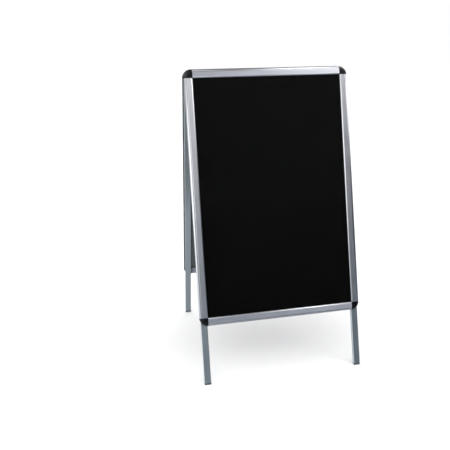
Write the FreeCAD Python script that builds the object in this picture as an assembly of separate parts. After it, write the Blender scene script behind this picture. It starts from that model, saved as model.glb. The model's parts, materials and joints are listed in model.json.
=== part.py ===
import FreeCAD, Part
import math
import os

from FreeCAD import Matrix, Placement, Vector

# Double-sided folding pavement sign, in millimetres.
# Origin: centre of the footprint, on the ground.  +Z is up, the front half leans towards -Y.
#
# Each half is drawn in its own panel frame: x runs across, s runs down the slope from the
# hinge pin, n runs outwards from the plane where the two halves would meet when folded.
# A frame side is drawn in its side frame: u runs inwards from the frame's outer edge,
# n runs outwards from the frame's back, w runs along the side from the corner it starts at.
# Left and right are as seen by a person who faces that half.

# Driving dimensions
FRAME_W = 640.0         # outer width of a snap frame
FRAME_H = 960.0         # outer height of a snap frame, along the slope
TILT = 14.0             # lean of each half from the vertical, in degrees
LEG_REACH = 225.0       # how far the legs run on below the frame, along the slope
TOP_RISE = 6.0          # how far the frame's top edge stands above the hinge pin

PROFILE_W = 32.0        # face width of the frame's extrusions
PROFILE_D = 14.0        # depth of base and lid together
WEB_T = 1.4             # back wall of the base extrusion
WALL_T = 1.5            # its other walls, and the lid

LID_AXIS_U = 10.5       # centre of the lid's hinge bead
LID_AXIS_N = 12.2
BEAD_R = 1.8
SOCKET_CLEARANCE = 0.15
SOCKET_T = 1.3
SHOULDER_N = 11.7       # top of the rounded outer shoulder
SHOULDER_R = 7.5
LIP_R = 4.5             # rounded inner edge of the lid
LIP_END_N = 9.2
LID_END_GAP = 0.4       # between a lid's end and the corner cap

LEDGE_U0 = 19.0         # hollow ledge that carries the sheets
LEDGE_U1 = 30.5
LEDGE_N = 6.0
BACK_PANEL_T = 1.5
POSTER_T = 0.6
COVER_T = 0.8
SHEET_INSET = 21.5      # from the frame's outer edge to the sheets' edges
SHEET_ROOM = 0.5        # in the corner caps, beside the sheets' edges
SHEET_PLAY = 0.1        # in the corner caps, above and below the sheets

CAP_STEP_R = 23.2       # raised middle of a corner cap
CAP_STEP_FILLET = 1.8
CAP_TOP_N = 14.2
CAP_WALL = 2.0
KEY_ARM_END = 76.0      # how far a corner key reaches from the corner
KEY_T = 3.0
KEY_FIT = 0.15

SPRING_L = 45.0
SPRING_T = 0.4
SPRING_R = 5.4
SPRING_U = 12.0         # foot of a spring's bow
SPRING_TIP_U = 2.7      # from there to the tip under the lid

LEG_W = 25.0
LEG_D = 13.0
LEG_T = 1.5
LEG_INSET = 5.0         # from the frame's outer edge to the leg's outer side
LEG_TOP_S = 10.0
LEG_EDGE_R = 1.2
LEG_BLANK = 60.0        # of leg and foot that is drawn past the ground and cut away
FOOT_SOLE = 4.0
FOOT_PLUG = 22.0
PLUG_FIT = 0.1          # between a plug and the tube round it

LEAF_GAP = 0.5          # from the folding plane to a hinge leaf
LEAF_T = 1.5
LEAF_S0 = 4.0
LEAF_S1 = 47.0
KNUCKLE_R = 3.0
HINGE_W = 13.0          # three knuckles and the gaps between them
KNUCKLE_L = 4.0
KNUCKLE_GAP = 0.3
PIN_R = 1.75
PIN_CLEARANCE = 0.06
PIN_HEAD_R = 2.6
PIN_HEAD_T = 1.2

STOP_T = 1.5            # flange of the stop plug on top of a leg
STOP_PLUG = 10.0
STOP_NOSE_N0 = 3.7
STOP_NOSE_N1 = 9.0
STOP_HEAD_S = 3.5       # underside of the nose's head, above the pin
STOP_GAP = 0.1          # half of the play between the two noses
STOP_SHIFT = 12.0       # of the nose from its leg towards the sign's middle
CORNER_MARGIN = 0.5     # of leaves and stops inside the corner caps' outline

RIVET_R = 2.0
RIVET_HEAD_R = 2.8
RIVET_HEAD_T = 1.2
RIVET_DOME = 0.8        # rounded part of the head's thickness
RIVET_TAIL_R = 3.0
RIVET_TAIL_T = 1.2
COUNTERSINK_R = 3.5
LEG_RIVET_U = 15.2

# Derived dimensions
SLOPE = math.radians(TILT)
LEG_N0 = LEAF_GAP + LEAF_T
FRAME_N = LEG_N0 + LEG_D
FRAME_BOTTOM_S = FRAME_H - TOP_RISE
LEG_END_S = FRAME_BOTTOM_S + LEG_REACH
LEG_MID_N = LEG_N0 + LEG_D / 2
HINGE_Z = LEG_END_S * math.cos(SLOPE) - LEG_MID_N * math.sin(SLOPE)
LEG_X0 = FRAME_W / 2 - LEG_INSET - LEG_W
LEG_X1 = FRAME_W / 2 - LEG_INSET
LEG_MID_X = (LEG_X0 + LEG_X1) / 2
HINGE_X1 = LEG_X0 + HINGE_W
BIG = 2000.0
OVERCUT = 1.0           # how far a cutting shape reaches past what it cuts
TOLERANCE = 1e-6

LONG_SPRINGS = (150.0, 460.0, 770.0)
SHORT_SPRINGS = (150.0, 440.0)
LEG_RIVETS = (70.0, 250.0, 560.0, 870.0)
LEAF_RIVETS_S = (27.0, 39.0)
LEAF_RIVET_DX = 6.5

HALVES = ("front", "rear")
SIDE_OF_CORNER = {
    "top_left": "left",
    "top_right": "top",
    "bottom_right": "right",
    "bottom_left": "bottom",
}
SIDE_LENGTH = {"left": FRAME_H, "right": FRAME_H, "top": FRAME_W, "bottom": FRAME_W}


def write(name, shapes):
    """Write one node, made of one solid or of a group of separate solids."""
    solids = shapes if isinstance(shapes, list) else [shapes]
    shape = solids[0] if len(solids) == 1 else Part.makeCompound(solids)
    shape.exportStep(os.path.join("parts", name + ".step"))


def to_half(shape, half):
    """Stand a shape that is drawn in the panel frame up in its leaning half."""
    placed = shape.copy()
    placed.rotate(Vector(0, 0, 0), Vector(1, 0, 0), -TILT)
    placed.translate(Vector(0, 0, HINGE_Z))
    if half == "rear":
        placed.rotate(Vector(0, 0, 0), Vector(0, 0, 1), 180)
    return placed


def to_side(shape, side):
    """Move a shape from the side frame (u, n, w) to the panel frame."""
    across, top, bottom = FRAME_W / 2, TOP_RISE, TOP_RISE - FRAME_H
    inward, along, corner = {
        "left": (Vector(1, 0, 0), Vector(0, 0, -1), Vector(-across, -FRAME_N, top)),
        "top": (Vector(0, 0, -1), Vector(-1, 0, 0), Vector(across, -FRAME_N, top)),
        "right": (Vector(-1, 0, 0), Vector(0, 0, 1), Vector(across, -FRAME_N, bottom)),
        "bottom": (Vector(0, 0, 1), Vector(1, 0, 0), Vector(-across, -FRAME_N, bottom)),
    }[side]
    matrix = Matrix(
        inward.x, 0, along.x, corner.x,
        inward.y, -1, along.y, corner.y,
        inward.z, 0, along.z, corner.z,
        0, 0, 0, 1,
    )
    placed = shape.copy()
    placed.Placement = Placement(matrix).multiply(placed.Placement)
    return placed


def panel_box(x0, x1, n0, n1, s0, s1):
    """Box between two x, two n and two s values of the panel frame."""
    return Part.makeBox(x1 - x0, n1 - n0, s1 - s0, Vector(x0, -n1, -s1))


def along_n(radius, n0, n1, x, s):
    """Cylinder square to the panel, between two n values of the panel frame."""
    return Part.makeCylinder(radius, n1 - n0, Vector(x, -n0, -s), Vector(0, -1, 0))


def rect(u0, u1, n0, n1):
    """Flat rectangle of an extrusion's section."""
    return Part.makePlane(u1 - u0, n1 - n0, Vector(u0, n0, 0))


def disc(radius, u, n):
    """Flat disc of an extrusion's section."""
    return Part.Face(Part.Wire(Part.makeCircle(radius, Vector(u, n, 0))))


def extrude(section, start, length):
    """Run a section, made of touching flat faces, along its side, from w = start."""
    bars = [face.extrude(Vector(0, 0, length)) for face in section.Faces]
    bar = bars[0].multiFuse(bars[1:]).removeSplitter() if len(bars) > 1 else bars[0]
    bar.translate(Vector(0, 0, start))
    return bar


def outer_wall():
    """Outer wall that turns over in a round shoulder towards the bead's socket."""
    centre_n = SHOULDER_N - SHOULDER_R
    shoulder = disc(SHOULDER_R, SHOULDER_R, centre_n)
    shoulder = shoulder.cut(disc(SHOULDER_R - WALL_T, SHOULDER_R, centre_n))
    shoulder = shoulder.common(rect(0, SHOULDER_R, centre_n, SHOULDER_N))
    bridge = rect(SHOULDER_R, LID_AXIS_U, SHOULDER_N - WALL_T, SHOULDER_N)
    return [rect(0, WALL_T, 0, centre_n), shoulder, bridge]


def base_section():
    """Base: web, outer wall with a rounded shoulder, bead socket and hollow ledge."""
    socket_r = BEAD_R + SOCKET_CLEARANCE
    ring_r = socket_r + SOCKET_T
    ring = disc(ring_r, LID_AXIS_U, LID_AXIS_N)
    ring = ring.common(rect(0, 2 * LID_AXIS_U, SHOULDER_N - ring_r, SHOULDER_N))
    walls = outer_wall() + [
        ring,
        rect(LEDGE_U0, LEDGE_U1, LEDGE_N - WEB_T, LEDGE_N),
        rect(LEDGE_U0, LEDGE_U0 + WALL_T, 0, LEDGE_N),
        rect(LEDGE_U1 - WALL_T, LEDGE_U1, 0, LEDGE_N),
    ]
    section = rect(0, LEDGE_U1, 0, WEB_T).multiFuse(walls)
    return section.cut(disc(socket_r, LID_AXIS_U, LID_AXIS_N))


def lid_section():
    """Lid: hinge bead, flat face and rounded inner lip that holds the sheets down."""
    lip_u = PROFILE_W - LIP_R
    lip_n = PROFILE_D - LIP_R
    inner_r = LIP_R - WALL_T
    lip = disc(LIP_R, lip_u, lip_n).cut(disc(inner_r, lip_u, lip_n))
    lip = lip.common(rect(lip_u, PROFILE_W, lip_n, PROFILE_D))
    plate = rect(LID_AXIS_U, lip_u, PROFILE_D - WALL_T, PROFILE_D)
    edge = rect(PROFILE_W - WALL_T, PROFILE_W, LIP_END_N, lip_n)
    return plate.multiFuse([disc(BEAD_R, LID_AXIS_U, LID_AXIS_N), lip, edge])


def rivet(n0, n1):
    """Domed rivet along -Y from its head's seat at n1 down to its tail's seat at n0."""
    head = Part.makeCylinder(RIVET_HEAD_R, RIVET_HEAD_T, Vector(0, -n1, 0), Vector(0, -1, 0))
    top = -n1 - RIVET_HEAD_T
    rim = [edge for edge in head.Edges if abs(edge.CenterOfMass.y - top) < TOLERANCE]
    head = head.makeFillet(RIVET_HEAD_T * RIVET_DOME, rim)
    shank = Part.makeCylinder(RIVET_R, n1 - n0, Vector(0, -n0, 0), Vector(0, -1, 0))
    tail = Part.makeCylinder(RIVET_TAIL_R, RIVET_TAIL_T, Vector(0, -n0, 0), Vector(0, 1, 0))
    return head.multiFuse([shank, tail]).removeSplitter()


def flush_rivet(x, s):
    """Countersunk rivet that holds a hinge leaf to the leg and stays flush with the leaf."""
    seat = LEG_N0 + LEG_T
    cone = Part.makeCone(
        COUNTERSINK_R, RIVET_R, LEAF_T, Vector(x, -LEAF_GAP, -s), Vector(0, -1, 0)
    )
    shank = along_n(RIVET_R, LEAF_GAP, seat, x, s)
    tail = along_n(RIVET_TAIL_R, seat, seat + RIVET_TAIL_T, x, s)
    return cone.multiFuse([shank, tail]).removeSplitter()


def rivet_places(half_side):
    """Centres (x, s) of the leg rivets behind one stile."""
    x = half_side * (FRAME_W / 2 - LEG_RIVET_U)
    return [(x, w - TOP_RISE) for w in LEG_RIVETS]


def leaf_rivet_places(half_side):
    """Centres (x, s) of the flush rivets of one hinge leaf."""
    middle = half_side * LEG_MID_X
    offsets = (-LEAF_RIVET_DX, LEAF_RIVET_DX)
    return [(middle + dx, s) for s in LEAF_RIVETS_S for dx in offsets]


def base_rail(side):
    """One base extrusion, cut square between two corner caps."""
    length = SIDE_LENGTH[side] - 2 * PROFILE_W
    rail = to_side(extrude(base_section(), PROFILE_W, length), side)
    if side in ("left", "right"):
        half_side = -1 if side == "left" else 1
        for x, s in rivet_places(half_side):
            hole = along_n(RIVET_R, FRAME_N - OVERCUT, FRAME_N + WEB_T + OVERCUT, x, s)
            rail = rail.cut(hole)
    return rail


def lid_rail(side):
    """One snap-open lid extrusion."""
    length = SIDE_LENGTH[side] - 2 * PROFILE_W - 2 * LID_END_GAP
    return to_side(extrude(lid_section(), PROFILE_W + LID_END_GAP, length), side)


def quarter(radius, n0, n1):
    """Quarter disc about a cap's inner corner, in the side frame."""
    post = Part.makeCylinder(
        radius, n1 - n0, Vector(PROFILE_W, n0, PROFILE_W), Vector(0, 1, 0)
    )
    return post.common(Part.makeBox(PROFILE_W, n1 - n0, PROFILE_W, Vector(0, n0, 0)))


def rounded_quarter(radius, n1, fillet):
    """Quarter disc from the frame's back to n1 with a rounded outer rim."""
    post = quarter(radius, 0, n1)
    rim = []
    for edge in post.Edges:
        is_arc = isinstance(edge.Curve, Part.Circle)
        if is_arc and abs(edge.CenterOfMass.y - n1) < TOLERANCE:
            rim.append(edge)
    return post.makeFillet(fillet, rim)


def corner_cap(side):
    """Moulded corner cap: rounded skirt, raised middle, hollow inside."""
    cap = rounded_quarter(PROFILE_W, SHOULDER_N, SHOULDER_R)
    raised = rounded_quarter(CAP_STEP_R, CAP_TOP_N, CAP_STEP_FILLET)
    cap = cap.fuse(raised).removeSplitter()
    hollow = rounded_quarter(PROFILE_W - CAP_WALL, SHOULDER_N - CAP_WALL, SHOULDER_R - CAP_WALL)
    hollow = hollow.fuse(quarter(PROFILE_W - CAP_WALL, -OVERCUT, OVERCUT)).removeSplitter()
    room = PROFILE_W - 2 * CAP_WALL
    hollow = hollow.common(Part.makeBox(room, BIG, room, Vector(CAP_WALL, -OVERCUT, CAP_WALL)))
    key_low = LEDGE_U0 + WALL_T
    key_slot = PROFILE_W - key_low
    slots = [
        Part.makeBox(key_slot, LEDGE_N, PROFILE_W, Vector(key_low, -OVERCUT, CAP_WALL)),
        Part.makeBox(PROFILE_W, LEDGE_N, key_slot, Vector(CAP_WALL, -OVERCUT, key_low)),
    ]
    sheet_low = SHEET_INSET - SHEET_ROOM
    sheet_slot = PROFILE_W - sheet_low
    sheet_t = LIP_END_N - LEDGE_N + 2 * SHEET_PLAY
    sheet_corner = Vector(sheet_low, LEDGE_N - SHEET_PLAY, sheet_low)
    slots.append(Part.makeBox(sheet_slot, sheet_t, sheet_slot, sheet_corner))
    return to_side(cut_all(cap, [hollow] + slots), side)


def cut_all(shape, tools):
    """Cut several tools from a shape, one after the other."""
    for tool in tools:
        shape = shape.cut(tool)
    return shape


def corner_key(side):
    """Flat L-shaped key that joins two base extrusions inside their hollow ledges."""
    low = LEDGE_U0 + WALL_T + KEY_FIT
    width = LEDGE_U1 - WALL_T - KEY_FIT - low
    reach = KEY_ARM_END - low
    corner = Vector(low, WEB_T, low)
    down = Part.makeBox(width, KEY_T, reach, corner)
    across = Part.makeBox(reach, KEY_T, width, corner)
    return to_side(down.fuse(across).removeSplitter(), side)


def leaf_spring(side, middle):
    """Bowed spring strip between the web and the lid."""
    centre_n = WEB_T + SPRING_R
    bow = disc(SPRING_R, SPRING_U, centre_n).cut(disc(SPRING_R - SPRING_T, SPRING_U, centre_n))
    low = rect(SPRING_U, SPRING_U + SPRING_R, WEB_T, centre_n)
    high = rect(
        SPRING_U + SPRING_TIP_U, SPRING_U + SPRING_R, centre_n, centre_n + SPRING_R
    )
    bow = bow.common(low.fuse(high).removeSplitter())
    return to_side(extrude(bow, middle - SPRING_L / 2, SPRING_L), side)


def leaf_springs():
    """All the springs of one frame."""
    springs = []
    for side, length in SIDE_LENGTH.items():
        places = LONG_SPRINGS if length == FRAME_H else SHORT_SPRINGS
        springs += [leaf_spring(side, middle) for middle in places]
    return springs


def sheet(n0, thickness):
    """A flat sheet that lies on the ledges, n0 above the frame's back."""
    half_w = FRAME_W / 2 - SHEET_INSET
    low = FRAME_N + n0
    return panel_box(
        -half_w, half_w, low, low + thickness,
        SHEET_INSET - TOP_RISE, FRAME_BOTTOM_S - SHEET_INSET,
    )


def leg_bar(inset, s0, s1):
    """Solid bar of a leg's section, inset from the tube's outer faces."""
    bar = panel_box(
        LEG_X0 + inset, LEG_X1 - inset, LEG_N0 + inset, FRAME_N - inset, s0, s1
    )
    long_edges = [edge for edge in bar.Edges if abs(edge.Length - (s1 - s0)) < TOLERANCE]
    return bar.makeFillet(LEG_EDGE_R if inset == 0 else LEG_EDGE_R / 3, long_edges)


def mirror_for(shape, half_side):
    """Shapes are drawn on the right: mirror them when they belong on the left."""
    return shape if half_side > 0 else shape.mirror(Vector(0, 0, 0), Vector(1, 0, 0))


def ground_slab(z0, z1):
    """Level slab under one half, to cut legs and feet parallel to the ground."""
    return Part.makeBox(2 * BIG, 2 * BIG, z1 - z0, Vector(-BIG, -BIG, z0))


def leg(half, half_side):
    """Rectangular tube behind a stile, cut level above its foot."""
    blank_end = LEG_END_S + LEG_BLANK
    tube = leg_bar(0, LEG_TOP_S, blank_end)
    tube = tube.cut(leg_bar(LEG_T, LEG_TOP_S - OVERCUT, blank_end + OVERCUT))
    tube = mirror_for(tube, half_side)
    for x, s in rivet_places(half_side):
        tube = tube.cut(along_n(RIVET_R, FRAME_N - LEG_T - OVERCUT, FRAME_N + OVERCUT, x, s))
    for x, s in leaf_rivet_places(half_side):
        tube = tube.cut(along_n(RIVET_R, LEG_N0 - OVERCUT, LEG_N0 + LEG_T + OVERCUT, x, s))
    return to_half(tube, half).cut(ground_slab(-BIG, FOOT_SOLE))


def foot(half, half_side):
    """Moulded foot: a level sole under the tube and a plug inside it."""
    sole = leg_bar(0, LEG_END_S - LEG_BLANK, LEG_END_S + LEG_BLANK)
    plug = leg_bar(LEG_T + PLUG_FIT, LEG_END_S - FOOT_PLUG, LEG_END_S + LEG_BLANK)
    sole = to_half(mirror_for(sole, half_side), half).common(ground_slab(0, FOOT_SOLE))
    plug = to_half(mirror_for(plug, half_side), half).cut(ground_slab(-BIG, FOOT_SOLE))
    return sole.fuse(plug).removeSplitter()


def top_corner_room():
    """Room behind the frame's rounded top corner, on the right, and the frame beside it."""
    middle_x = FRAME_W / 2 - PROFILE_W
    middle_s = PROFILE_W - TOP_RISE
    round_room = along_n(PROFILE_W - CORNER_MARGIN, 0, FRAME_N, middle_x, middle_s)
    beside = panel_box(0, middle_x, 0, FRAME_N, -TOP_RISE, FRAME_BOTTOM_S)
    below = panel_box(0, FRAME_W / 2, 0, FRAME_N, middle_s, FRAME_BOTTOM_S)
    return round_room.multiFuse([beside, below])


def top_stop(half_side):
    """Plug on top of a leg with a nose that meets its twin when the sign is open."""
    flange = panel_box(LEG_X0, LEG_X1, LEG_N0, FRAME_N, LEG_TOP_S - STOP_T, LEG_TOP_S)
    plug = leg_bar(LEG_T + PLUG_FIT, LEG_TOP_S - STOP_T, LEG_TOP_S + STOP_PLUG)
    play = STOP_GAP / math.cos(SLOPE)
    outline = [
        (LEG_TOP_S - STOP_T, STOP_NOSE_N0),
        (LEG_TOP_S - STOP_T, STOP_NOSE_N1),
        (-TOP_RISE, STOP_NOSE_N1),
        (-TOP_RISE, TOP_RISE * math.tan(SLOPE) + play),
        (-STOP_HEAD_S, STOP_HEAD_S * math.tan(SLOPE) + play),
        (-STOP_HEAD_S, STOP_NOSE_N0),
    ]
    points = [Vector(LEG_X0 - STOP_SHIFT, -n, -s) for s, n in outline]
    nose = Part.Face(Part.makePolygon(points + points[:1])).extrude(Vector(LEG_W, 0, 0))
    stop = flange.multiFuse([plug, nose]).common(top_corner_room())
    return mirror_for(stop.removeSplitter(), half_side)


def knuckle_spans(half):
    """x spans of a half's hinge knuckles, on the right."""
    if half == "front":
        return [(LEG_X0, LEG_X0 + KNUCKLE_L), (HINGE_X1 - KNUCKLE_L, HINGE_X1)]
    return [(LEG_X0 + KNUCKLE_L + KNUCKLE_GAP, HINGE_X1 - KNUCKLE_L - KNUCKLE_GAP)]


def hinge_leaf(half, half_side):
    """Steel hinge leaf with its knuckles; the pin is tight in the front leaf."""
    leaf = panel_box(LEG_X0, LEG_X1, LEAF_GAP, LEG_N0, LEAF_S0, LEAF_S1)
    leaf = leaf.common(top_corner_room())
    bore_r = PIN_R if half == "front" else PIN_R + PIN_CLEARANCE
    across = Vector(1, 0, 0)
    for x0, x1 in knuckle_spans(half):
        strip = panel_box(x0, x1, LEAF_GAP, LEG_N0, 0, LEAF_S0)
        barrel = Part.makeCylinder(KNUCKLE_R, x1 - x0, Vector(x0, 0, 0), across)
        leaf = leaf.multiFuse([strip, barrel])
    bore_start = Vector(LEG_X0 - OVERCUT, 0, 0)
    bore = Part.makeCylinder(bore_r, HINGE_W + 2 * OVERCUT, bore_start, across)
    leaf = mirror_for(leaf.removeSplitter().cut(bore), half_side)
    holes = [flush_rivet(x, s) for x, s in leaf_rivet_places(half_side)]
    return cut_all(leaf, holes)


def hinge_pin(half_side):
    """Headed pin through the three knuckles."""
    across = Vector(1, 0, 0)
    shaft = Part.makeCylinder(PIN_R, HINGE_W, Vector(LEG_X0, 0, 0), across)
    heads = [
        Part.makeCylinder(PIN_HEAD_R, PIN_HEAD_T, Vector(LEG_X0 - PIN_HEAD_T, 0, 0), across),
        Part.makeCylinder(PIN_HEAD_R, PIN_HEAD_T, Vector(HINGE_X1, 0, 0), across),
    ]
    return mirror_for(shaft.multiFuse(heads).removeSplitter(), half_side)


def leg_rivets():
    """Rivets from inside the frame's channel into the legs, both legs of one half."""
    rivets = []
    for half_side in (-1, 1):
        for x, s in rivet_places(half_side):
            one = rivet(FRAME_N - LEG_T, FRAME_N + WEB_T)
            one.translate(Vector(x, 0, -s))
            rivets.append(one)
    return rivets


def build_half(half):
    """Write every node of one half."""

    def put(name, shapes):
        solids = shapes if isinstance(shapes, list) else [shapes]
        write(half + "_" + name, [to_half(solid, half) for solid in solids])

    for side in SIDE_LENGTH:
        put("base_" + side, base_rail(side))
        put("lid_" + side, lid_rail(side))
    for corner, side in SIDE_OF_CORNER.items():
        put("corner_cap_" + corner, corner_cap(side))
    put("corner_keys", [corner_key(side) for side in SIDE_OF_CORNER.values()])
    put("leaf_springs", leaf_springs())
    put("back_panel", sheet(LEDGE_N, BACK_PANEL_T))
    put("poster", sheet(LEDGE_N + BACK_PANEL_T, POSTER_T))
    put("cover_sheet", sheet(LEDGE_N + BACK_PANEL_T + POSTER_T, COVER_T))
    put("leg_rivets", leg_rivets())
    put("top_stops", [top_stop(-1), top_stop(1)])
    leaf_rivets = [flush_rivet(x, s) for side in (-1, 1) for x, s in leaf_rivet_places(side)]
    put("hinge_rivets", leaf_rivets)
    for side_name, half_side in (("left", -1), ("right", 1)):
        put("hinge_leaf_" + side_name, hinge_leaf(half, half_side))
        write(half + "_leg_" + side_name, leg(half, half_side))
        write(half + "_foot_" + side_name, foot(half, half_side))


def main():
    os.makedirs("parts", exist_ok=True)
    for half in HALVES:
        build_half(half)
    for side_name, half_side in (("left", -1), ("right", 1)):
        write("hinge_pin_" + side_name, to_half(hinge_pin(half_side), "front"))


main()
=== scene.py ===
"""Looks of the folding pavement sign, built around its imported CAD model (metres)."""

import json
import math

import bpy
from mathutils import Euler, Matrix, Vector


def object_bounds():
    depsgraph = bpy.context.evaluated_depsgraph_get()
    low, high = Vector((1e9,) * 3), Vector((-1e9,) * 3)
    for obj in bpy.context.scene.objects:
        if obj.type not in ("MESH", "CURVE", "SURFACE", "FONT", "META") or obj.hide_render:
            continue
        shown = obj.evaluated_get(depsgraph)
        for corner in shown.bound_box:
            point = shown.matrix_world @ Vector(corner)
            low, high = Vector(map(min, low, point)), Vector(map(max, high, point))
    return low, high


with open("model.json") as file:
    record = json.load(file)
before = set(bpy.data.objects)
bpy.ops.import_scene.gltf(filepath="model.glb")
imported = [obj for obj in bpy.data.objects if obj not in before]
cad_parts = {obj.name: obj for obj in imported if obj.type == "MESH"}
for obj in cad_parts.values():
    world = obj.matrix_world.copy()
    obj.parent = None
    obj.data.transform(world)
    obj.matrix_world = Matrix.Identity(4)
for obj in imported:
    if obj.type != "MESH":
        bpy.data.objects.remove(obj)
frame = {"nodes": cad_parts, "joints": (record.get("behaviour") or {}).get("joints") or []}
cad_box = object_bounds()

# The lean of each half is half of the fold joint's travel.
FOLD_JOINT = next(joint for joint in frame["joints"] if joint["name"] == "fold")
LEAN = math.radians(FOLD_JOINT["range_deg"][1]) / 2
HALF_LEAN = {"front": LEAN, "rear": -LEAN}

MM = 0.001

# Camera: in front of the sign's front half, to its left and a little above its top.
CAMERA_PLACE = Vector((-0.5509, -1.9885, 1.2247))
CAMERA_YAW = 0.1906
CAMERA_PITCH = -0.2824
CAMERA_ROLL = -0.017
CAMERA_LENS = 41.66
CAMERA_SENSOR = 36.0
CAMERA_SHIFT_Y = -0.0556

# Brightness of the studio, as gloss and metal mirror it, by elevation in degrees.
SKY_LEVELS = (
    (-90, (0.12, 0.13, 0.15)),
    (-45, (0.36, 0.39, 0.43)),
    (-30, (0.34, 0.38, 0.42)),
    (-16, (0.22, 0.25, 0.285)),
    (-6, (0.18, 0.22, 0.255)),
    (3, (0.10, 0.13, 0.16)),
    (12, (0.15, 0.17, 0.195)),
    (22, (0.21, 0.22, 0.25)),
    (40, (0.27, 0.27, 0.30)),
    (58, (0.08, 0.08, 0.09)),
    (90, (0.03, 0.03, 0.035)),
)
# Soft round patches of light: azimuth from -Y towards +X and elevation in degrees, how tightly
# the patch is bunched, and its brightness. A negative one is a dark flag.
SOFTBOXES = (
    (-82.0, -14.0, 9.0, 1.9),
    (-42.0, 26.0, 10.0, 2.4),
    (47.0, 43.0, 30.0, 6.5),
    (58.0, 4.0, 4.0, -0.30),
    (130.0, 24.0, 12.0, 2.0),
    (160.0, 32.0, 14.0, -1.6),
    (-138.0, 42.0, 20.0, 2.4),
)
# No direction gets darker than this, however strong its dark flag.
DARKEST = (0.02, 0.02, 0.02)

# Other light and the floor: lengths in metres, the overhead light's width in degrees.
AMBIENT_LEVEL = 1.35     # what lights the matt surfaces
BACKDROP_LEVEL = 1.0     # what is seen behind the sign
OVERHEAD_STRENGTH = 0.4
OVERHEAD_ANGLE = 70.0
OVERHEAD_AIM = (0.25, 0.1, -1.0)
STRIP_PLACE = Vector((-3.0, -0.9, 0.7))
STRIP_TARGET = Vector((0.0, 0.0, 0.6))
STRIP_SIZE = (0.25, 3.2)
STRIP_POWER = 9.0
FLOOR_SIZE = 60.0

# Colours and gloss
BAR_COLOR = (0.78, 0.785, 0.81)
# Rails across: a paler copy of the bar colour, a painted highlight for how they catch the light.
LIT_RAIL_COLOR = (0.90, 0.905, 0.98)
LEG_COLOR = (0.76, 0.805, 0.82)
SATIN_ROUGHNESS = 0.38
POLISH_ROUGHNESS = 0.05
# Colour of the painted shade laid into grooves and inner corners.
PAINTED_SHADE_COLOR = (0.06, 0.06, 0.065)
RUBBED_PLASTIC = (0.11, 0.11, 0.115)

NOISE_RANGE = (0.3, 0.7)    # where nearly all of a noise's values lie
QUARTER_TURN = 0.25         # turns stretched gloss across the grain
SHADE_SAMPLES = 6

# How open an edge is, felt from inside the material, where wear starts and where it is full.
WEAR_RANGE = (0.97, 0.60)
# How far the painted shade in grooves and inner corners looks round, and how open a place is
# where it starts and where it is full.
SOFT_SHADE = (12 * MM, (0.92, 0.45))
DEEP_SHADE = (25 * MM, (0.97, 0.70))

# Rounding of sharp edges: its width, its steps and the least angle in degrees that gets it.
BAR_BEVEL = 0.3 * MM
CAP_BEVEL = 0.4 * MM
FOOT_BEVEL = 0.5 * MM
BEVEL_SEGMENTS = 2
BEVEL_ANGLE = 40.0
WELD_DISTANCE = 0.001 * MM


# ---------------------------------------------------------------- node helpers


def rgba(color):
    """A colour as node sockets hold it."""
    return (*color, 1.0)


def scaled(color, factor):
    """A colour made darker or lighter, within white."""
    return tuple(min(1.0, part * factor) for part in color)


class NodeTree:
    """A node tree with short ways to add to it."""

    # Sockets of the Mix node that carry colours.
    MIX_LOW, MIX_HIGH, MIX_RESULT = 6, 7, 2

    def __init__(self, tree):
        self.nodes = tree.nodes
        self.links = tree.links

    def feed(self, socket, value):
        """Link a socket to another one, or set its value."""
        if isinstance(value, bpy.types.NodeSocket):
            self.links.new(value, socket)
        else:
            socket.default_value = value

    def add(self, kind, inputs=None, **properties):
        """A node of this kind, with its properties and then its inputs."""
        node = self.nodes.new(kind)
        for name, value in properties.items():
            setattr(node, name, value)
        for key, value in (inputs or {}).items():
            self.feed(node.inputs[key], value)
        return node

    def math(self, operation, first, second):
        """Math of two values, each a socket or a number."""
        node = self.add("ShaderNodeMath", {0: first, 1: second}, operation=operation)
        return node.outputs["Value"]

    def vector_math(self, operation, first, second, output="Vector"):
        """Math of two vectors, each a socket or a tuple."""
        node = self.add("ShaderNodeVectorMath", {0: first, 1: second}, operation=operation)
        return node.outputs[output]

    def remap(self, value, from_range, to_range=(0.0, 1.0), curve="LINEAR"):
        """Map a value from one range to another."""
        inputs = {
            "Value": value,
            "From Min": from_range[0], "From Max": from_range[1],
            "To Min": to_range[0], "To Max": to_range[1],
        }
        node = self.add("ShaderNodeMapRange", inputs, interpolation_type=curve)
        return node.outputs["Result"]

    def mix(self, value, low, high):
        """Colour that runs from low to high with a value; each is a socket or a tuple."""
        low, high = (rgba(color) if isinstance(color, tuple) else color for color in (low, high))
        inputs = {"Factor": value, self.MIX_LOW: low, self.MIX_HIGH: high}
        return self.add("ShaderNodeMix", inputs, data_type="RGBA").outputs[self.MIX_RESULT]


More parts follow.
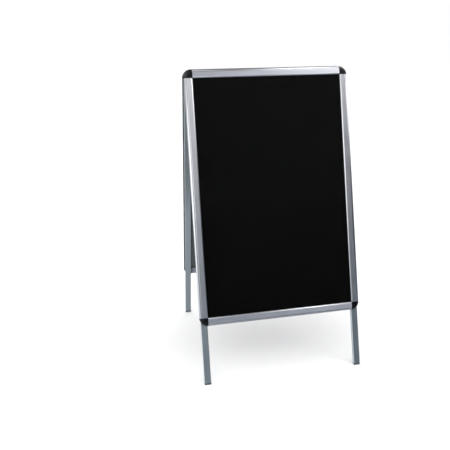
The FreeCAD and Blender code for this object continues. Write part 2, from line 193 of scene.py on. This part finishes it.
class Shader(NodeTree):
    """A material with a Principled BSDF and short ways to add procedural detail."""

    def __init__(self, name, color, roughness, metallic=0.0):
        self.material = bpy.data.materials.new(name)
        self.material.use_nodes = True
        super().__init__(self.material.node_tree)
        self.bsdf = self.nodes["Principled BSDF"]
        self.normal = None
        self.set("Base Color", rgba(color))
        self.set("Roughness", roughness)
        self.set("Metallic", metallic)

    def set(self, socket, value):
        """Link or set one of the shader's own sockets."""
        self.feed(self.bsdf.inputs[socket], value)

    def place(self, size, lean=0.0):
        """Object coordinates turned upright with a leaning half and divided by a grain size."""
        inputs = {
            "Vector": self.add("ShaderNodeTexCoord").outputs["Object"],
            "Rotation": (-lean, 0.0, 0.0),
            "Scale": size,
        }
        return self.add("ShaderNodeMapping", inputs, vector_type="TEXTURE").outputs["Vector"]

    def noise(self, size, lean=0.0, detail=3.0, roughness=0.55):
        """Noise with a grain of this size, or of these sizes (across, outwards, up the slope)."""
        grain = size if isinstance(size, tuple) else (size, size, size)
        inputs = {
            "Vector": self.place(grain, lean),
            "Scale": 1.0,
            "Detail": detail,
            "Roughness": roughness,
        }
        return self.add("ShaderNodeTexNoise", inputs).outputs["Fac"]

    def spread(self, noise, low, high):
        """Spread a noise over the range low to high."""
        return self.remap(noise, NOISE_RANGE, (low, high))

    def bump(self, height, strength, distance):
        """Add a bump on top of the bumps so far."""
        inputs = {"Height": height, "Strength": strength, "Distance": distance}
        if self.normal is not None:
            inputs["Normal"] = self.normal
        self.normal = self.add("ShaderNodeBump", inputs).outputs["Normal"]
        self.set("Normal", self.normal)

    def grain_along(self, direction, amount):
        """Anisotropic gloss of a surface whose fine lines run along a direction."""
        vector = self.add("ShaderNodeCombineXYZ", dict(zip("XYZ", direction)))
        turn = self.add(
            "ShaderNodeVectorTransform", {"Vector": vector.outputs["Vector"]},
            vector_type="VECTOR", convert_from="OBJECT", convert_to="WORLD",
        )
        self.set("Tangent", turn.outputs["Vector"])
        self.set("Anisotropic", amount)
        self.set("Anisotropic Rotation", QUARTER_TURN)

    def closed(self, distance, open_range, inside=False):
        """Value that grows from 0 to 1 as the places round about close in."""
        node = self.add(
            "ShaderNodeAmbientOcclusion", {"Distance": distance},
            samples=SHADE_SAMPLES, inside=inside,
        )
        return self.remap(node.outputs["AO"], open_range, curve="SMOOTHSTEP")

    def rim(self, distance):
        """Value that is high along convex edges, felt from inside the material."""
        return self.closed(distance, WEAR_RANGE, inside=True)

    def painted_shade(self, distance, open_range):
        """Painted shade: a value that is high in grooves and inner corners."""
        return self.closed(distance, open_range)


# ---------------------------------------------------------------- materials


def aluminium(name, lean, stands, color, hollows=SOFT_SHADE):
    """Satin anodised extrusion with fine drawn lines along its length."""
    shader = Shader(name, color, SATIN_ROUGHNESS, metallic=1.0)
    fine, wide, length = 0.5 * MM, 5 * MM, 350 * MM
    if stands:
        fine_size, wide_size = (fine, fine, length), (wide, wide, 2 * length)
        direction = (0.0, math.sin(lean), math.cos(lean))
    else:
        fine_size, wide_size = (length, fine, fine), (2 * length, wide, wide)
        direction = (1.0, 0.0, 0.0)
    lines = shader.noise(fine_size, lean, detail=2.0)
    bands = shader.noise(wide_size, lean, detail=2.0)
    clouds = shader.noise(50 * MM, lean, detail=4.0)
    worn = shader.math("MULTIPLY", shader.rim(0.8 * MM), shader.spread(clouds, 0.2, 1.0))
    # Painted shade: darker in grooves and inner corners, from ambient occlusion, mottled by
    # noise.
    painted_shade = shader.math("MULTIPLY", shader.painted_shade(*hollows), shader.spread(clouds, 0.6, 1.0))

    shade = shader.math("ADD", shader.spread(lines, -0.12, 0.12), shader.spread(bands, 0.3, 0.7))
    base = shader.mix(shade, scaled(color, 0.88), scaled(color, 1.08))
    base = shader.mix(worn, base, scaled(color, 1.2))
    shader.set("Base Color", shader.mix(painted_shade, base, PAINTED_SHADE_COLOR))

    gloss = shader.math("ADD", shader.spread(lines, -0.03, 0.03), SATIN_ROUGHNESS)
    gloss = shader.math("ADD", gloss, shader.spread(clouds, -0.03, 0.04))
    gloss = shader.math("SUBTRACT", gloss, shader.math("MULTIPLY", worn, 0.1))
    shader.set("Roughness", gloss)
    shader.bump(lines, strength=0.08, distance=0.05 * MM)
    shader.grain_along(direction, amount=0.75)
    return shader.material


def black_moulding(name, color, roughness, grain, gloss, polish=0.0):
    """Near-black moulded plastic, rubbed paler along its edges."""
    shader = Shader(name, color, roughness)
    shader.set("Specular IOR Level", gloss)
    shader.set("Coat Weight", polish)
    shader.set("Coat Roughness", POLISH_ROUGHNESS)
    texture = shader.noise(grain)
    scuffs = shader.noise((12 * MM, 12 * MM, 30 * MM), detail=5.0, roughness=0.7)
    worn = shader.math("MULTIPLY", shader.rim(1.2 * MM), shader.spread(scuffs, 0.15, 0.6))
    tone = shader.mix(shader.spread(scuffs, 0.0, 1.0), color, scaled(color, 1.6))
    shader.set("Base Color", shader.mix(worn, tone, RUBBED_PLASTIC))
    rough = shader.math("ADD", shader.spread(scuffs, -0.05, 0.09), roughness)
    shader.set("Roughness", rough)
    shader.bump(texture, strength=0.25, distance=0.06 * MM)
    return shader.material


def black_print(lean):
    """Matt black poster with faint mottling."""
    shader = Shader("black_poster_print", (0.004, 0.004, 0.004), 0.7)
    shader.set("Specular IOR Level", 0.05)
    mottle = shader.noise(3 * MM, lean, detail=4.0)
    drift = shader.noise(250 * MM, lean, detail=2.0)
    shade = shader.math("ADD", shader.spread(mottle, 0.0, 0.3), shader.spread(drift, 0.0, 0.7))
    ink = shader.mix(shade, (0.0036, 0.0041, 0.0038), (0.0062, 0.0070, 0.0066))
    shader.set("Base Color", ink)
    shader.set("Roughness", shader.spread(mottle, 0.52, 0.68))
    shader.bump(mottle, strength=0.1, distance=0.04 * MM)
    return shader.material


def clear_film(lean):
    """Clear anti-glare film: a very faint frosting over what lies behind it."""
    shader = Shader("clear_film", (0.006, 0.006, 0.006), 0.5)
    shader.set("Specular IOR Level", 0.12)
    shader.set("Alpha", 0.25)
    frost = shader.noise(1.2 * MM, lean)
    waves = shader.noise((160 * MM, 160 * MM, 220 * MM), lean, detail=1.5)
    shader.set("Roughness", shader.spread(frost, 0.42, 0.56))
    shader.bump(waves, strength=0.15, distance=0.8 * MM)
    shader.bump(frost, strength=0.12, distance=0.05 * MM)
    return shader.material


def sheet_plastic(lean):
    """Dark grey back panel with a soft orange-peel surface and light scuffs."""
    shader = Shader("back_panel_sheet", (0.07, 0.074, 0.077), 0.55)
    peel = shader.noise(2.5 * MM, lean)
    scuffs = shader.noise((20 * MM, 20 * MM, 180 * MM), lean, detail=6.0, roughness=0.7)
    shade = shader.spread(scuffs, 0.0, 1.0)
    shader.set("Base Color", shader.mix(shade, (0.082, 0.088, 0.092), (0.112, 0.118, 0.122)))
    shader.set("Roughness", shader.spread(scuffs, 0.45, 0.65))
    shader.bump(peel, strength=0.15, distance=0.1 * MM)
    return shader.material


def bright_metal(name, color, roughness):
    """Bright metal with a fine crystalline mottle."""
    shader = Shader(name, color, roughness, metallic=1.0)
    crystal = 2.5 * MM
    inputs = {"Vector": shader.place((crystal, crystal, crystal)), "Scale": 1.0}
    cells = shader.add("ShaderNodeTexVoronoi", inputs, feature="F1").outputs["Distance"]
    mottle = shader.noise(1 * MM, detail=4.0)
    shade = shader.math("MULTIPLY", cells, shader.spread(mottle, 0.5, 1.2))
    shader.set("Base Color", shader.mix(shade, scaled(color, 0.75), color))
    shader.set("Roughness", shader.math("ADD", shader.spread(mottle, -0.06, 0.06), roughness))
    shader.bump(mottle, strength=0.15, distance=0.05 * MM)
    return shader.material


def floor_paint():
    """Pale, almost white studio floor with a barely visible grain."""
    shader = Shader("studio_floor", (0.86, 0.86, 0.86), 0.8)
    grain = shader.noise(4 * MM)
    shader.set("Base Color", shader.mix(grain, (0.855, 0.855, 0.86), (0.875, 0.875, 0.875)))
    shader.bump(grain, strength=0.05, distance=0.2 * MM)
    return shader.material


# ---------------------------------------------------------------- pieces


def soften(node, width):
    """Weld a CAD node's split vertices and round its sharp edges, leaving its mesh alone."""
    weld = node.modifiers.new("weld", "WELD")
    weld.merge_threshold = WELD_DISTANCE
    bevel = node.modifiers.new("bevel", "BEVEL")
    bevel.width = width
    bevel.segments = BEVEL_SEGMENTS
    bevel.limit_method = "ANGLE"
    bevel.angle_limit = math.radians(BEVEL_ANGLE)
    bevel.harden_normals = True


def paint(name, material, bevel=None):
    """Give a CAD node its material and, where a bevel is asked for, rounded edges."""
    node = frame["nodes"][name]
    node.data.materials.clear()
    node.data.materials.append(material)
    if bevel is not None:
        soften(node, bevel)


def paint_bars(half, lean):
    """Paint a half's lids and bases; the painted shade reaches further out on the bases."""
    for run, stands, sides, color in (
        ("upright", True, ("left", "right"), BAR_COLOR),
        # The rails across take the paler colour, which is painted light.
        ("across", False, ("top", "bottom"), LIT_RAIL_COLOR),
    ):
        lid = aluminium(f"{half}_anodised_{run}", lean, stands, color)
        base = aluminium(f"{half}_base_{run}", lean, stands, color, DEEP_SHADE)
        for side in sides:
            paint(f"{half}_lid_{side}", lid, BAR_BEVEL)
            paint(f"{half}_base_{side}", base, BAR_BEVEL)


def paint_frame():
    """Give every CAD node its material; the bars, corner caps and feet also get soft edges."""
    cap = black_moulding(
        "cap_gloss_black", (0.0025, 0.0025, 0.003), 0.15, grain=1.2 * MM, gloss=0.25, polish=0.5
    )
    dull = black_moulding("moulded_black", (0.02, 0.02, 0.021), 0.5, grain=0.6 * MM, gloss=0.4)
    steel = bright_metal("zinc_plate", (0.62, 0.62, 0.60), 0.32)
    spring = bright_metal("spring_strip", (0.42, 0.42, 0.44), 0.28)
    rivet = bright_metal("rivet_metal", (0.66, 0.66, 0.67), 0.3)
    for half, lean in HALF_LEAN.items():
        paint_bars(half, lean)
        for corner in ("top_left", "top_right", "bottom_left", "bottom_right"):
            paint(f"{half}_corner_cap_{corner}", cap, CAP_BEVEL)
        leg = aluminium(f"{half}_leg_anodised", lean, True, LEG_COLOR)
        for side in ("left", "right"):
            paint(f"{half}_leg_{side}", leg)
            paint(f"{half}_foot_{side}", dull, FOOT_BEVEL)
            paint(f"{half}_hinge_leaf_{side}", steel)
        paint(f"{half}_top_stops", dull)
        paint(f"{half}_corner_keys", dull)
        paint(f"{half}_leaf_springs", spring)
        paint(f"{half}_leg_rivets", rivet)
        paint(f"{half}_hinge_rivets", rivet)
        paint(f"{half}_back_panel", sheet_plastic(lean))
        paint(f"{half}_poster", black_print(lean))
        paint(f"{half}_cover_sheet", clear_film(lean))
    for side in ("left", "right"):
        paint(f"hinge_pin_{side}", steel)


# ---------------------------------------------------------------- stage


def sky(tree, direction):
    """Colour of the studio by elevation."""
    split = tree.add("ShaderNodeSeparateXYZ", {"Vector": direction})
    height = tree.remap(split.outputs["Z"], (-1.0, 1.0))
    ramp = tree.add("ShaderNodeValToRGB", {"Fac": height})
    ramp.color_ramp.interpolation = "EASE"
    elements = ramp.color_ramp.elements
    while len(elements) < len(SKY_LEVELS):
        elements.new(0.5)
    for element, (elevation, level) in zip(elements, SKY_LEVELS):
        element.position = (1.0 + math.sin(math.radians(elevation))) / 2
        element.color = rgba(level)
    return ramp.outputs["Color"]


def softbox(tree, direction, azimuth, elevation, sharpness, strength):
    """Brightness of a soft round patch of light."""
    azimuth, elevation = math.radians(azimuth), math.radians(elevation)
    flat = math.cos(elevation)
    aim = (flat * math.sin(azimuth), -flat * math.cos(azimuth), math.sin(elevation))
    facing = tree.vector_math("DOT_PRODUCT", direction, aim, output="Value")
    patch = tree.math("POWER", tree.math("MAXIMUM", facing, 0.0), sharpness)
    return tree.math("MULTIPLY", patch, strength)


def studio_world():
    """White to the eye; for light and reflections a soft studio with patches of light."""
    world = bpy.data.worlds.new("studio")
    bpy.context.scene.world = world
    world.use_nodes = True
    tree = NodeTree(world.node_tree)
    tree.nodes.clear()
    direction = tree.add("ShaderNodeTexCoord").outputs["Generated"]
    total = sky(tree, direction)
    for box in SOFTBOXES:
        total = tree.vector_math("ADD", total, softbox(tree, direction, *box))
    total = tree.vector_math("MAXIMUM", total, DARKEST)
    shader = tree.add("ShaderNodeBackground", {"Color": total}).outputs["Background"]
    path = tree.add("ShaderNodeLightPath")
    for ray, level in (("Is Diffuse Ray", AMBIENT_LEVEL), ("Is Camera Ray", BACKDROP_LEVEL)):
        plain = tree.add("ShaderNodeBackground", {"Color": (level, level, level, 1.0)})
        inputs = {"Fac": path.outputs[ray], 1: shader, 2: plain.outputs["Background"]}
        shader = tree.add("ShaderNodeMixShader", inputs).outputs["Shader"]
    tree.add("ShaderNodeOutputWorld", {"Surface": shader})


def studio_floor():
    """Large pale floor at the sign's feet."""
    bpy.ops.mesh.primitive_plane_add(size=FLOOR_SIZE, location=(0.0, 0.0, cad_box[0][2]))
    floor = bpy.context.object
    floor.name = "studio_floor"
    floor.data.materials.append(floor_paint())
    floor.visible_glossy = False


def overhead_light():
    """One very soft light from above, which no surface mirrors."""
    light = bpy.data.lights.new("soft_overhead", "SUN")
    light.energy = OVERHEAD_STRENGTH
    light.angle = math.radians(OVERHEAD_ANGLE)
    lamp = bpy.data.objects.new("soft_overhead", light)
    lamp.rotation_euler = Vector(OVERHEAD_AIM).to_track_quat("-Z", "Y").to_euler()
    lamp.visible_glossy = False
    bpy.context.scene.collection.objects.link(lamp)


def strip_light():
    """Tall narrow light at the left: only seen as a reflection in gloss and metal."""
    light = bpy.data.lights.new("strip_left", "AREA")
    light.shape = "RECTANGLE"
    light.size, light.size_y = STRIP_SIZE
    light.energy = STRIP_POWER
    lamp = bpy.data.objects.new("strip_left", light)
    lamp.location = STRIP_PLACE
    lamp.rotation_euler = (STRIP_TARGET - STRIP_PLACE).to_track_quat("-Z", "Y").to_euler()
    lamp.visible_diffuse = False
    lamp.visible_transmission = False
    bpy.context.scene.collection.objects.link(lamp)


def place_camera():
    """Camera from its place, its aim and its roll."""
    data = bpy.data.cameras.new("camera")
    data.lens = CAMERA_LENS
    data.sensor_width = CAMERA_SENSOR
    data.shift_y = CAMERA_SHIFT_Y
    camera = bpy.data.objects.new("camera", data)
    upright = Euler((math.pi / 2 + CAMERA_PITCH, 0.0, -CAMERA_YAW), "XYZ").to_matrix()
    roll = Matrix.Rotation(CAMERA_ROLL, 3, "Z")
    camera.matrix_world = Matrix.Translation(CAMERA_PLACE) @ (upright @ roll).to_4x4()
    bpy.context.scene.collection.objects.link(camera)
    bpy.context.scene.camera = camera


def plain_colors():
    """Plain colours, as a product picture has."""
    bpy.context.scene.view_settings.view_transform = "Standard"
    bpy.context.scene.view_settings.look = "None"


place_camera()
plain_colors()
studio_world()
overhead_light()
strip_light()
studio_floor()
paint_frame()
